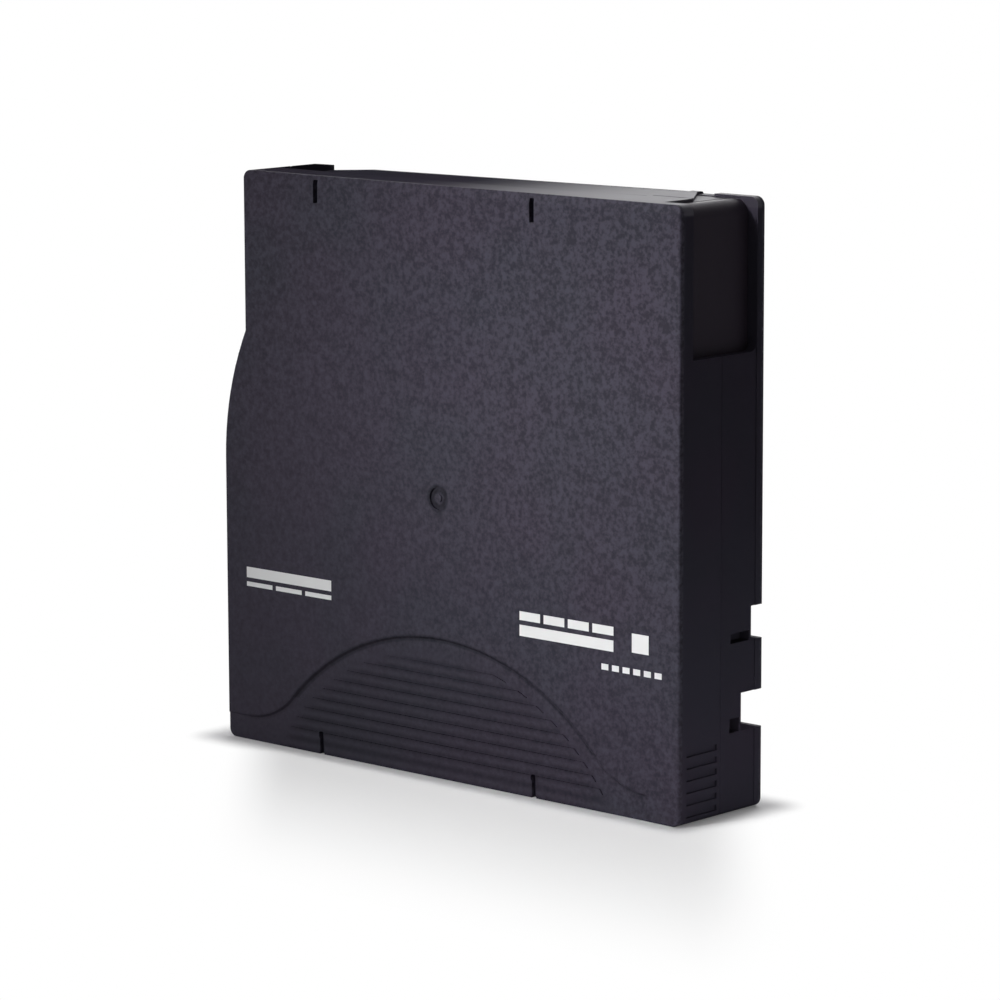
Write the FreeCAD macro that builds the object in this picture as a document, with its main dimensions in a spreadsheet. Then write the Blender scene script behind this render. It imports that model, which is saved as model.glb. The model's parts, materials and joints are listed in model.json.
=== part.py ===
"""Single-reel data tape cartridge, standing on its rear edge. Sizes are in millimetres.

Every piece is drawn as if the cartridge lay flat on its lower shell: X to the right, Y from the rear
edge to the front edge, Z up from the parting plane towards the upper shell. The pieces of the reel are
drawn about the reel's own axis. STAND then turns the whole cartridge up onto its rear edge.
"""
import FreeCAD, Part
import math
import os

import Sketcher
from FreeCAD import Placement, Rotation, Vector

STAND = Rotation(Vector(1, 0, 0), 90)

SIZES = {
    # case
    "case_width": 105.4, "case_length": 102.0, "case_thickness": 21.5,
    "wall": 1.8, "upper_plate": 1.8, "lower_plate": 2.0,
    "corner_round": 1.5, "edge_round": 0.4, "seam_bevel": 0.25,
    "front_set_in": 5.4,
    "band_step": 0.15, "upper_rim": 3.2, "lower_rim": 2.0,
    # reel
    "reel_offset": 0.5, "reel_rear_gap": 0.6, "reel_sink": 0.5,
    "flange_radius": 48.2, "flange_thickness": 1.2, "flange_gap": 12.8,
    "hub_wall": 2.0, "hub_floor": 2.0, "spigot_rise": 0.9,
    "tape_width": 12.65, "pack_margin": 1.7, "leader_thickness": 0.12, "leader_clear": 0.3,
    # drive clutch under the reel
    "hub_opening": 18.5, "opening_clear": 0.6, "chuck_boss": 0.8, "chuck_ring_width": 4.0,
    "chuck_ring_rise": 0.5, "chuck_teeth": 36, "chuck_tooth_rise": 0.8, "chuck_tooth_width": 1.3,
    "chuck_tooth_inset": 0.3,
    "plate_leg_gap": 1.1, "plate_bore": 4.5, "plate_thickness": 0.6,
    "seat_ring_width": 1.5, "seat_gap": 0.25,
    # reel brake
    "brake_teeth": 60, "brake_hub_gap": 2.5, "brake_ring_width": 3.0, "brake_tooth_rise": 0.8,
    "brake_tooth_root": 0.9, "brake_tooth_tip": 0.4, "brake_clear": 0.1,
    "brake_post_rise": 3.0, "brake_disc": 1.6, "brake_travel": 1.6,
    "socket_radius": 4.6, "socket_rise": 6.4, "socket_floor": 1.0, "guide_post": 4.6, "guide_clear": 0.1,
    "brake_coil_radius": 7.4, "brake_wire": 0.7, "brake_coils": 4,
    "spring_ring_clear": 0.3, "spring_ring_wall": 1.0, "spring_ring_rise": 1.0, "pivot_radius": 1.5,
    # brake release
    "release_arm": 5.0, "release_plate": 1.2, "release_centre": 6.0,
    "brake_leg_reach": 1.6, "leg_width": 3.0, "leg_depth": 2.2, "leg_clear": 0.2, "leg_short": 0.6,
    "arm_corner": 1.0, "rest_gap": 0.05,
    # leader pin and what holds it
    "pin_side": 8.7, "pin_front": 9.5, "pin_length": 15.6, "pin_neck": 1.25, "pin_flange": 2.45,
    "pin_end_flange": 0.4, "pin_groove": 0.5, "pin_inner_flange": 0.5,
    "clip_bore": 1.3, "clip_radius": 1.9, "clip_mouth": 1.6, "clip_length": 12.4,
    "pin_end_gap": 0.25, "pocket_clear": 0.15, "pocket_wall": 0.8, "pocket_rise": 0.6,
    "bay_left_reach": 4.5, "bay_rear_reach": 6.0, "bay_door_gap": 0.5,
    "catch_wire": 0.4, "catch_foot": 3.2, "catch_tail": 3.6, "catch_bend": 1.0,
    # sliding door
    "door_opening_length": 25.3, "door_opening_round": 1.5, "door_thickness": 1.2, "door_side_gap": 0.2,
    "door_lap": 3.5, "door_front_gap": 0.5, "door_nose": 2.5, "door_return": 1.1,
    "door_edge_gap": 0.1,
    "door_boss": 2.0, "door_boss_height": 2.8,
    "door_coil_radius": 0.85, "door_wire": 0.3, "door_coils": 9,
    "door_spring_length": 33.2, "stop_rib": 1.2, "stop_clear": 0.3,
    "guide_rib": 0.8, "guide_rib_rise": 2.25, "guide_length": 9.0, "guide_gap": 1.5,
    # write-protect slide
    "window_side": 5.7, "window_width": 12.0, "window_height": 7.0,
    "knob_width": 5.4, "knob_gap": 0.3, "knob_recess": 0.6, "tab_plate": 1.2, "tab_lap": 1.6,
    "tab_gap": 0.1, "tab_rib": 0.8, "tab_keeper_lap": 2.0, "tab_height_lap": 1.0,
    "ridge_pitch": 1.1, "ridge_width": 0.4, "ridge_rise": 0.3, "ridge_first": 0.9, "ridge_end": 1.0,
    "ridges": 4,
    # memory board
    "board_side": 8.4, "board_rear": 7.3, "board_length": 12.0, "board_end_gap": 1.85, "board_thickness": 0.8,
    "board_clear": 0.1, "board_rail": 1.2, "board_rail_rise": 3.0, "chip_size": 5.0, "chip_rise": 0.6,
    # screws
    "screw_head": 2.1, "screw_head_rise": 1.2, "screw_shank": 1.0, "screw_length": 14.0,
    "screw_clear": 0.15, "pilot_clear": 0.05, "pilot_over": 0.4, "head_clear": 0.3, "head_sink": 0.3,
    "boss_radius": 2.6, "recess_length": 2.4, "recess_width": 0.5, "recess_depth": 0.7,
    # datum holes and robot notches in the lower shell
    "datum_radius": 2.0, "datum_depth": 3.0, "datum_wall": 1.4, "datum_slot": 2.4,
    "datum_side": 12.7, "datum_front": 11.0, "datum_slot_side": 10.8, "datum_slot_front": 18.6,
    "datum_slot_wall": 0.5,
    "notch_wall": 1.5, "front_notch_y": 28.7, "front_notch_length": 5.7, "front_notch_depth": 4.5,
    "front_notch_height": 2.9, "rear_notch_y": 13.7, "rear_notch_length": 6.4,
    "rear_notch_depth": 6.0, "rear_notch_height": 5.4, "front_slit_length": 1.7, "front_slit_height": 5.3,
    "rear_slit_length": 2.4, "rear_slit_height": 3.0, "slit_depth": 2.0, "slit_web": 0.5, "slit_wall": 1.0,
    # outer details of the case
    "grip_radius": 49.0, "grip_peak": 24.6, "grip_shift": 0.9, "grip_flare": 15.0, "grip_foot": 4.6,
    "grip_depth": 0.4, "grip_slope": 45.0, "grip_ribs": 9, "grip_pitch": 2.0, "grip_first": 3.0,
    "grip_rib": 0.9, "grip_rib_rise": 0.25, "grip_margin": 3.0,
    "side_grooves": 6, "side_pitch": 2.03, "side_first": 1.8, "side_groove": 1.0, "side_groove_depth": 0.4,
    "side_groove_top": 2.0, "side_groove_foot": 0.85,
    "slot_width": 1.0, "slot_length": 4.0, "slot_depth": 1.2, "slot_left": 29.5, "slot_right": 20.6,
    "front_slot_land": 0.8,
    "dimple_x": 0.9, "dimple_y": 48.8, "dimple_radius": 1.9, "dimple_depth": 0.35, "gate_radius": 0.7,
    "gate_rise": 0.2,
    "label_left_side": 24.7, "label_right_side": 8.7, "label_height": 15.0, "label_depth": 0.3,
    "nose_set_back": 0.5, "nose_side": 14.3, "nose_top_side": 0.9,
    "front_lead": 1.5, "front_lead_drop": 0.35,
    "recess_left_side": 6.7, "recess_right_side": 15.2, "front_recess_top": 3.75,
    "front_recess_depth": 1.45, "front_recess_bend": 10.0, "front_recess_shoulder": 0.8,
    "front_recess_end": 0.15, "front_pad": 1.2, "front_pad_length": 11.0,
    "corner_dip_side": 13.2, "corner_dip_length": 4.0, "corner_dip": 0.35,
    "front_end_bevel": 5.0, "front_end_drop": 0.55,
    "chamber_rib": 1.0, "chamber_clear": 1.7,
    "chamber_half_angle": 17.0, "shell_gap": 0.05, "root_overlap": 0.2, "cut_overlap": 0.1,
}

# each screw's distances from the side and from the end of the case that it is nearest to
SCREW_PLACES = (("front_left", 10.7, 5.4), ("rear_left", 6.1, 11.5),
                ("rear_right", 16.7, 6.0), ("front_right", 16.2, 4.8))
# the direction of each corner of the reel chamber that has a rib, in degrees from +X
CHAMBER_RIBS = (("front_left", 128.0), ("rear_left", 222.0), ("rear_right", 313.0))


class Size:
    """A number together with the spreadsheet expression that gives it."""

    def __init__(self, value, text=None):
        self.value = float(value)
        self.text = text or f"{self.value:.10g}"

    def __add__(self, other):
        other = as_size(other)
        return Size(self.value + other.value, f"({self.text} + {other.text})")

    def __sub__(self, other):
        other = as_size(other)
        return Size(self.value - other.value, f"({self.text} - {other.text})")

    def __mul__(self, other):
        other = as_size(other)
        return Size(self.value * other.value, f"({self.text} * {other.text})")

    def __truediv__(self, other):
        other = as_size(other)
        return Size(self.value / other.value, f"({self.text} / {other.text})")

    def __radd__(self, other):
        return as_size(other) + self

    def __rsub__(self, other):
        return as_size(other) - self

    def __rmul__(self, other):
        return as_size(other) * self

    def __neg__(self):
        return Size(-self.value, f"(-1 * {self.text})")


def as_size(value):
    return value if isinstance(value, Size) else Size(value)


def root(size):
    return Size(math.sqrt(size.value), f"sqrt({size.text})")


def cosine(degrees):
    degrees = as_size(degrees)
    return Size(math.cos(math.radians(degrees.value)), f"cos({degrees.text} * 1 deg)")


def sine(degrees):
    degrees = as_size(degrees)
    return Size(math.sin(math.radians(degrees.value)), f"sin({degrees.text} * 1 deg)")


def write_sheet(doc):
    """The spreadsheet of driving sizes, and the same names as attributes that carry expressions."""
    sheet = doc.addObject("Spreadsheet::Sheet", "Sizes")
    cells = dict(SIZES)
    for name, side, end in SCREW_PLACES:
        cells[f"screw_{name}_side"] = side
        cells[f"screw_{name}_end"] = end
    for name, direction in CHAMBER_RIBS:
        cells[f"rib_{name}_angle"] = direction
    for row, (name, value) in enumerate(cells.items(), start=1):
        sheet.set(f"A{row}", name.replace("_", " "))
        sheet.set(f"B{row}", str(value))
        sheet.setAlias(f"B{row}", name)
    return {name: Size(value, f"Sizes.{name}") for name, value in cells.items()}


doc = FreeCAD.newDocument("tape_cartridge")
S = write_sheet(doc)
doc.recompute()
PIECES = []


# ---------------------------------------------------------------- drawing and feature helpers

def bind(thing, path, size):
    """Ties a property to the spreadsheet."""
    thing.setExpression(path, as_size(size).text)


def new_body(label, x=0, y=0, z=0, turn=0, upright=STAND):
    """An empty body whose own origin lies at x, y, z of the flat cartridge."""
    body = doc.addObject("PartDesign::Body", label)
    body.Label = label
    body.Placement = Placement(Vector(), upright.multiply(Rotation(Vector(0, 0, 1), turn)))
    bind(body, "Placement.Base.x", x)
    bind(body, "Placement.Base.y", -as_size(z))
    bind(body, "Placement.Base.z", y)
    PIECES.append(body)
    return body


def origin_part(body, role):
    return next(part for part in body.Origin.OriginFeatures if part.Role == role)


def pin_point(geometry, point, x, y, rules):
    """Dimensions a point from the sketch's origin; a zero puts it on the axis."""
    for kind, axis, size in (("DistanceX", -2, as_size(x)), ("DistanceY", -1, as_size(y))):
        if size.text == "0":
            rules.append((Sketcher.Constraint("PointOnObject", geometry, point, axis), None))
        else:
            rules.append((Sketcher.Constraint(kind, -1, 1, geometry, point, size.value), size.text))


def draw_arc(sketch, start, end, radius):
    """The shorter arc between two points: to the left for a positive radius, else to the right."""
    side = math.copysign(1, radius)
    chord = end - start
    middle = (start + end) * 0.5
    height = math.sqrt(max(radius ** 2 - (chord.Length / 2) ** 2, 0))
    centre = middle + Vector(-chord.y, chord.x, 0).normalize() * height * side
    first, last = (start, end) if side > 0 else (end, start)
    angles = [math.atan2(point.y - centre.y, point.x - centre.x) for point in (first, last)]
    if angles[1] < angles[0]:
        angles[1] += 2 * math.pi
    circle = Part.Circle(centre, Vector(0, 0, 1), abs(radius))
    geometry = sketch.addGeometry(Part.ArcOfCircle(circle, *angles))
    return (geometry, 1, 2) if side > 0 else (geometry, 2, 1)


def draw_loop(sketch, loop, rules):
    """A circle ("circle", x, y, radius) or corners (x, y) or (x, y, radius of the arc that follows)."""
    if loop[0] == "circle":
        _, x, y, radius = loop
        x, y, radius = as_size(x), as_size(y), as_size(radius)
        circle = Part.Circle(Vector(x.value, y.value, 0), Vector(0, 0, 1), radius.value)
        geometry = sketch.addGeometry(circle)
        pin_point(geometry, 3, x, y, rules)
        rules.append((Sketcher.Constraint("Radius", geometry, radius.value), radius.text))
        return
    spots = [Vector(as_size(corner[0]).value, as_size(corner[1]).value, 0) for corner in loop]
    ends = []
    for index, corner in enumerate(loop):
        start, end = spots[index], spots[(index + 1) % len(loop)]
        if len(corner) > 2:
            radius = as_size(corner[2])
            ends.append(draw_arc(sketch, start, end, radius.value))
            length = radius if radius.value > 0 else -radius
            rules.append((Sketcher.Constraint("Radius", ends[-1][0], length.value), length.text))
        else:
            ends.append((sketch.addGeometry(Part.LineSegment(start, end)), 1, 2))
    for index, (geometry, start, end) in enumerate(ends):
        following, its_start, _ = ends[(index + 1) % len(ends)]
        rules.append((Sketcher.Constraint("Coincident", geometry, end, following, its_start), None))
        pin_point(geometry, start, loop[index][0], loop[index][1], rules)


def draw(body, name, loops, plane="XY_Plane", level=0, axis=None):
    """A sketch of closed loops on one of the body's planes, moved out along the plane's normal.

    An axis is two points that a construction line joins."""
    sketch = body.newObject("Sketcher::SketchObject", name)
    sketch.AttachmentSupport = [(origin_part(body, plane), "")]
    sketch.MapMode = "FlatFace"
    if as_size(level).text != "0":
        bind(sketch, "AttachmentOffset.Base.z", level)
    rules = []
    for loop in loops:
        draw_loop(sketch, loop, rules)
    if axis:
        ends = [Vector(as_size(x).value, as_size(y).value, 0) for x, y in axis]
        line = sketch.addGeometry(Part.LineSegment(*ends), True)
        for point, (x, y) in enumerate(axis, start=1):
            pin_point(line, point, x, y, rules)
    sketch.addConstraint([rule for rule, _ in rules])
    for index, (_, text) in enumerate(rules):
        if text:
            sketch.setExpression(f"Constraints[{index}]", text)
    return sketch


def add(body, name, loops, low, high, plane="XY_Plane"):
    """Pads loops from low to high along the plane's axis."""
    down = plane == "XZ_Plane"
    level = -as_size(high) if down else low
    pad = body.newObject("PartDesign::Pad", name)
    pad.Profile = draw(body, name + "_outline", loops, plane, level)
    bind(pad, "Length", as_size(high) - low)
    return pad


def cut(body, name, loops, low, high, plane="XY_Plane"):
    """Pockets loops from low to high along the plane's axis."""
    down = plane == "XZ_Plane"
    level = -as_size(low) if down else high
    pocket = body.newObject("PartDesign::Pocket", name)
    pocket.Profile = draw(body, name + "_outline", loops, plane, level)
    bind(pocket, "Length", as_size(high) - low)
    return pocket


def revolve(body, name, profile, axis=None, angle=360):
    """Turns a profile of radius and height about the body's Z axis, or about an axis of its own."""
    sketch = draw(body, name + "_profile", [profile], "XZ_Plane", axis=axis)
    turned = body.newObject("PartDesign::Revolution", name)
    turned.Profile = sketch
    turned.ReferenceAxis = (sketch, ["Axis0" if axis else "V_Axis"])
    turned.Angle = angle
    return turned


def repeat_round(body, name, feature, count):
    """Repeats a feature evenly about the body's Z axis."""
    pattern = body.newObject("PartDesign::PolarPattern", name)
    pattern.Originals = [feature]
    pattern.Axis = (origin_part(body, "Z_Axis"), [""])
    pattern.Angle = 360
    bind(pattern, "Occurrences", count)
    body.Tip = pattern
    return pattern


def round_edges(body, name, size, chosen, kind="PartDesign::Fillet"):
    """Fillets, or chamfers, the edges of the body's last feature that the test picks."""
    doc.recompute()
    base = body.Tip
    names = [f"Edge{index}" for index, edge in enumerate(base.Shape.Edges, start=1) if chosen(edge)]
    edged = body.newObject(kind, name)
    edged.Base = (base, names)
    bind(edged, "Size" if kind.endswith("Chamfer") else "Radius", size)
    return edged


def rectangle(left, right, low, high):
    return [(left, low), (right, low), (right, high), (left, high)]


def ring(x, y, outer, inner):
    return [("circle", x, y, outer), ("circle", x, y, inner)]


def u_shape(x, y, radius, reach):
    """A half-round end about x, y, closed by a straight side at X = reach."""
    return [(reach, y + radius), (x, y + radius, radius), (x - radius, y, radius),
            (x, y - radius), (reach, y - radius)]


def cross(x, y, half_length, half_width):
    near, far = half_width, half_length
    corners = ((far, -near), (far, near), (near, near), (near, far), (-near, far), (-near, near),
               (-far, near), (-far, -near), (-near, -near), (-near, -far), (near, -far), (near, -near))
    return [(x + dx, y + dy) for dx, dy in corners]


def diagonal_box(x, y, half_length, half_width):
    """A rectangle whose length runs at 45 degrees between +X and +Y."""
    slope = math.sqrt(0.5)
    corners = ((-1, -1), (1, -1), (1, 1), (-1, 1))
    return [(x + (half_length * a - half_width * b) * slope, y + (half_length * a + half_width * b) * slope)
            for a, b in corners]


def arc_rib(radius_in, radius_out, direction, half_angle):
    """A short piece of a ring about the reel's axis."""
    first, last = direction - half_angle, direction + half_angle
    spots = ((radius_out, first), (radius_out, last), (radius_in, last), (radius_in, first))
    points = [(REEL_X + radius * cosine(angle), REEL_Y + radius * sine(angle)) for radius, angle in spots]
    points[0] += (radius_out,)
    points[2] += (-radius_in,)
    return points


# ---------------------------------------------------------------- places that several pieces share

HALF_WIDTH = S["case_width"] / 2
LENGTH = S["case_length"]
TOP = S["case_thickness"] / 2
BOTTOM = -TOP
CEILING = TOP - S["upper_plate"]
FLOOR = BOTTOM + S["lower_plate"]
BAND_TOP = TOP - S["upper_rim"]
BAND_LOW = BOTTOM + S["lower_rim"]
INNER_X = HALF_WIDTH - S["wall"]
INNER_FRONT = LENGTH - S["wall"]
REEL_X = -S["reel_offset"]
REEL_Y = S["wall"] + S["flange_radius"] + S["reel_rear_gap"]
REEL_Z = -S["reel_sink"]
ROOT = S["root_overlap"]
NICK = S["cut_overlap"]
OUTSIDE = 1.5
AT = 1e-6

HALF_GAP = S["flange_gap"] / 2
FLANGE_FACE = HALF_GAP + S["flange_thickness"]
PACK_RADIUS = S["flange_radius"] - S["pack_margin"]
HUB_FLOOR_TOP = -FLANGE_FACE + S["hub_floor"]
BOSS_FACE = -FLANGE_FACE - S["chuck_boss"]
CHUCK_RADIUS = S["hub_opening"] - S["opening_clear"]
LEG_REACH = CHUCK_RADIUS - S["chuck_ring_width"] / 2
BRAKE_OUTER = LEG_REACH + S["brake_leg_reach"]
BRAKE_INNER = BRAKE_OUTER - S["brake_ring_width"]
HUB_INNER = BRAKE_OUTER + S["brake_hub_gap"]
HUB_RADIUS = HUB_INNER + S["hub_wall"]
CHUCK_FACE = BOSS_FACE - S["chuck_ring_rise"]
CHUCK_TIP = CHUCK_FACE - S["chuck_tooth_rise"]
HUB_TOOTH_TIP = HUB_FLOOR_TOP + S["brake_post_rise"]
HUB_TOOTH_ROOT = HUB_TOOTH_TIP - S["brake_tooth_rise"]
BUTTON_FACE = HUB_TOOTH_TIP + S["brake_clear"]
BUTTON_TOOTH_TIP = HUB_TOOTH_ROOT + S["brake_clear"]
BUTTON_TOP = BUTTON_FACE + S["brake_disc"]
RELEASE_LOW = HUB_FLOOR_TOP + S["rest_gap"]
RELEASE_TOP = RELEASE_LOW + S["release_plate"]

PIN_X = HALF_WIDTH - S["pin_side"]
PIN_Y = LENGTH - S["pin_front"]
PIN_TOP = REEL_Z + S["pin_length"] / 2
PIN_LOW = REEL_Z - S["pin_length"] / 2
PIN_CEILING = PIN_TOP + S["pin_end_gap"]
PIN_FLOOR = PIN_LOW - S["pin_end_gap"]
PIN_POCKET = S["pin_flange"] + S["pocket_clear"]

DOOR_OUT = INNER_X - S["door_side_gap"]
DOOR_IN = DOOR_OUT - S["door_thickness"]
DOOR_LOW = BAND_LOW + S["door_edge_gap"]
DOOR_TOP = BAND_TOP - S["door_edge_gap"]
DOOR_TIP = DOOR_OUT - S["door_nose"] - S["door_return"]
DOOR_OPENING = LENGTH - S["door_opening_length"]
DOOR_REAR = DOOR_OPENING - S["door_lap"]
SPRING_STOP = DOOR_REAR - S["door_spring_length"]
BAY_END = DOOR_TIP - S["bay_door_gap"]
SPRING_X = DOOR_OUT - S["door_coil_radius"] - S["door_wire"] / 2

WINDOW_LEFT = S["window_side"] - HALF_WIDTH
WINDOW_RIGHT = WINDOW_LEFT + S["window_width"]
KNOB_LEFT = WINDOW_LEFT + S["knob_gap"]
TAB_Y = S["wall"] + S["tab_gap"]
TAB_BACK = TAB_Y + S["tab_plate"]
KEEPER_Y = TAB_BACK + S["tab_gap"]
BOARD_X = HALF_WIDTH - S["board_side"]
BOARD_Y = S["board_rear"]
DATUM = (S["datum_side"] - HALF_WIDTH, LENGTH - S["datum_front"])
DATUM_SLOT = (HALF_WIDTH - S["datum_slot_side"], LENGTH - S["datum_slot_front"])
RECESS_LEFT = S["recess_left_side"] - HALF_WIDTH


def screw_centre(corner):
    x = HALF_WIDTH - S[f"screw_{corner}_side"]
    end = S[f"screw_{corner}_end"]
    return (-x if "left" in corner else x, LENGTH - end if "front" in corner else end)


SCREWS = [screw_centre(name) for name, _, _ in SCREW_PLACES]
HEAD_SEAT = BOTTOM + S["head_sink"] + S["screw_head_rise"]


def case_outline(inset):
    """The plan of the case. Its left side bulges about the reel and steps in towards the front."""
    side = HALF_WIDTH - inset
    front_left = HALF_WIDTH - S["front_set_in"] - inset
    front = LENGTH - inset
    rear = as_size(inset)
    corner = S["corner_round"]
    bulge = HALF_WIDTH - S["reel_offset"] - inset
    reach = front_left - S["reel_offset"]
    kink = REEL_Y + root(bulge * bulge - reach * reach)
    return [(corner - side, rear), (side - corner, rear, corner), (side, rear + corner),
            (side, front - corner, corner), (side - corner, front), (corner - front_left, front, corner),
            (-front_left, front - corner), (-front_left, kink, bulge), (-side, REEL_Y),
            (-side, rear + corner, corner)]


def start_shell(label, low, high, face, plate):
    """A filleted tray with the case's outline: face is its outer plane and plate its inner plane."""
    body = new_body(label)
    add(body, label + "_block", [case_outline(0)], low, high)

    def at_face(edge):
        return all(abs(vertex.Point.z - face.value) < AT for vertex in edge.Vertexes)

    def at_seam(edge):
        return all(abs(vertex.Point.z) < AT for vertex in edge.Vertexes)

    round_edges(body, label + "_rim", S["edge_round"], at_face)
    round_edges(body, label + "_seam", S["seam_bevel"], at_seam, "PartDesign::Chamfer")
    inner_low, inner_high = (low, plate) if face.value > 0 else (plate, high)
    cut(body, label + "_cavity", [case_outline(S["wall"])], inner_low, inner_high)
    return body


def chamber_ribs():
    inner = S["flange_radius"] + S["chamber_clear"]
    return [arc_rib(inner, inner + S["chamber_rib"], S[f"rib_{name}_angle"], S["chamber_half_angle"])
            for name, _ in CHAMBER_RIBS]


def shell_inside(body, low, high, pin_plane):
    """The ribs and rails that both shells carry between their plate and the parting plane."""
    label = body.Label
    upper = high.value > 0
    plate = high if upper else low
    add(body, label + "_chamber", chamber_ribs(), low, high)
    add(body, label + "_bosses", [("circle", x, y, S["boss_radius"]) for x, y in SCREWS], low, high)
    stop = rectangle(S["flange_radius"] - S["reel_offset"] + S["stop_clear"], INNER_X + ROOT,
                     SPRING_STOP - S["stop_rib"], SPRING_STOP)
    add(body, label + "_spring_stop", [stop], low, high)

    # guides inside the door, and the keeper behind the write-protect slide
    guide_in = DOOR_IN - S["door_side_gap"] - S["guide_rib"]
    guide_front = DOOR_OPENING - S["guide_gap"]
    guide = rectangle(guide_in, guide_in + S["guide_rib"], guide_front - S["guide_length"], guide_front)
    rise = S["guide_rib_rise"]
    add(body, label + "_door_guide", [guide], plate - rise if upper else plate,
        plate if upper else plate + rise)
    lap = S["tab_keeper_lap"]
    keeper = rectangle(WINDOW_LEFT - lap, WINDOW_RIGHT + lap, KEEPER_Y, KEEPER_Y + S["tab_rib"])
    half = S["window_height"] / 2
    add(body, label + "_tab_keeper", [keeper], half if upper else plate, plate if upper else -half)

    # rails for the memory board
    block = diagonal_box(BOARD_X, BOARD_Y, S["board_length"] / 2 + S["board_rail"],
                         S["board_thickness"] / 2 + S["board_rail"])
    slot = diagonal_box(BOARD_X, BOARD_Y, S["board_length"] / 2 + S["board_clear"],
                        S["board_thickness"] / 2 + S["board_clear"])
    rail = S["board_rail_rise"]
    add(body, label + "_board_rail", [block, slot], plate - rail if upper else plate,
        plate if upper else plate + rail)

    # bay of the leader pin: a thick pad and a half-round pocket that opens towards the door
    bay = rectangle(PIN_X - S["bay_left_reach"], BAY_END, PIN_Y - S["bay_rear_reach"], INNER_FRONT + ROOT)
    add(body, label + "_pin_bay", [bay], pin_plane if upper else plate, plate if upper else pin_plane)
    outer = u_shape(PIN_X, PIN_Y, PIN_POCKET + S["pocket_wall"], BAY_END)
    inner = u_shape(PIN_X, PIN_Y, PIN_POCKET, BAY_END)
    lip = S["pocket_rise"]
    wall_low = pin_plane - lip if upper else pin_plane
    add(body, label + "_pin_pocket", [outer], wall_low, wall_low + lip)
    cut(body, label + "_pin_seat", [inner], wall_low, wall_low + lip)

    # pad that thickens the front wall behind its deep left end
    pad = rectangle(RECESS_LEFT - ROOT, RECESS_LEFT + S["front_pad_length"], INNER_FRONT - S["front_pad"],
                    INNER_FRONT + ROOT)
    add(body, label + "_front_pad", [pad], low, high)


def shell_openings(body, low, high):
    """Cuts that run across both shells: side band, door opening, front corner, window and label."""
    label = body.Label
    upper = high.value > 0
    band = (low, BAND_TOP) if upper else (BAND_LOW, high)
    cut(body, label + "_side_band",
        [rectangle(HALF_WIDTH - S["band_step"], HALF_WIDTH + OUTSIDE, -OUTSIDE, LENGTH + OUTSIDE)], *band)

    rear, front = DOOR_OPENING, LENGTH + OUTSIDE
    if upper:
        opening = rectangle(rear, front, low, BAND_TOP)
    else:
        bend = S["door_opening_round"]
        opening = [(rear, high), (rear, BAND_LOW + bend, bend), (rear + bend, BAND_LOW), (front, BAND_LOW),
                   (front, high)]
    cut(body, label + "_door_opening", [opening], INNER_X - NICK, HALF_WIDTH + OUTSIDE, "YZ_Plane")
    corner = rectangle(BAY_END, HALF_WIDTH + OUTSIDE, INNER_FRONT - S["corner_round"], LENGTH + OUTSIDE)
    cut(body, label + "_corner_opening", [corner], *band)

    # the front wall is set back under the door's nose, along a slanting line
    slope = (S["nose_side"] - S["nose_top_side"]) / (BAND_TOP - BOTTOM)
    start = HALF_WIDTH - S["nose_side"]
    foot, head = band
    set_back = [(start + slope * (foot - BOTTOM), foot), (HALF_WIDTH + OUTSIDE, foot),
                (HALF_WIDTH + OUTSIDE, head), (start + slope * (head - BOTTOM), head)]
    cut(body, label + "_set_back", [set_back], LENGTH - S["nose_set_back"], LENGTH + OUTSIDE, "XZ_Plane")

    # the front face sinks towards the lower shell, deepest at its left end
    left, right = RECESS_LEFT, HALF_WIDTH - S["recess_right_side"]
    recess = [(left, LENGTH - S["front_recess_depth"]),
              (left + S["front_recess_bend"], LENGTH - S["front_recess_shoulder"]),
              (right, LENGTH - S["front_recess_end"]), (right, LENGTH + OUTSIDE), (left, LENGTH + OUTSIDE)]
    cut(body, label + "_front_recess", [recess], low, S["front_recess_top"] if upper else high)

    half = S["window_height"] / 2
    window = rectangle(WINDOW_LEFT, WINDOW_RIGHT, -OUTSIDE, S["wall"] + NICK)
    cut(body, label + "_window", [window], low if upper else -half, half if upper else high)
    half_label = S["label_height"] / 2
    panel = rectangle(S["label_left_side"] - HALF_WIDTH, HALF_WIDTH - S["label_right_side"], -OUTSIDE,
                      S["label_depth"])
    cut(body, label + "_label_panel", [panel], low if upper else -half_label, half_label if upper else high)


def grip_outline():
    """The arched grip field: one large arc that flares out into a level foot on each side."""
    middle = -S["grip_shift"]
    radius, flare, foot_y = S["grip_radius"], S["grip_flare"], S["grip_foot"]
    centre_y = S["grip_peak"] - radius
    rise = foot_y + flare - centre_y
    span = root((radius + flare) * (radius + flare) - rise * rise)
    share = radius / (radius + flare)
    meet_x, meet_y = span * share, centre_y + rise * share
    past_left = -HALF_WIDTH - OUTSIDE
    return [(past_left, -OUTSIDE), (middle + span, -OUTSIDE), (middle + span, foot_y, -flare),
            (middle + meet_x, meet_y, radius), (middle, S["grip_peak"], radius),
            (middle - meet_x, meet_y, -flare), (middle - span, foot_y), (past_left, foot_y)]


def grip_ribs():
    """Level ribs inside the grip field, whose ends follow the arch."""
    middle = -S["grip_shift"]
    radius = S["grip_radius"] - S["grip_margin"]
    centre_y = S["grip_peak"] - S["grip_radius"]

    def reach(y):
        return root(radius * radius - (y - centre_y) * (y - centre_y))

    ribs = []
    for number in range(int(SIZES["grip_ribs"])):
        low = S["grip_first"] + S["grip_pitch"] * number
        high = low + S["grip_rib"]
        ribs.append([(middle - reach(low), low), (middle + reach(low), low),
                     (middle + reach(high), high), (middle - reach(high), high)])
    return ribs


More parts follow.
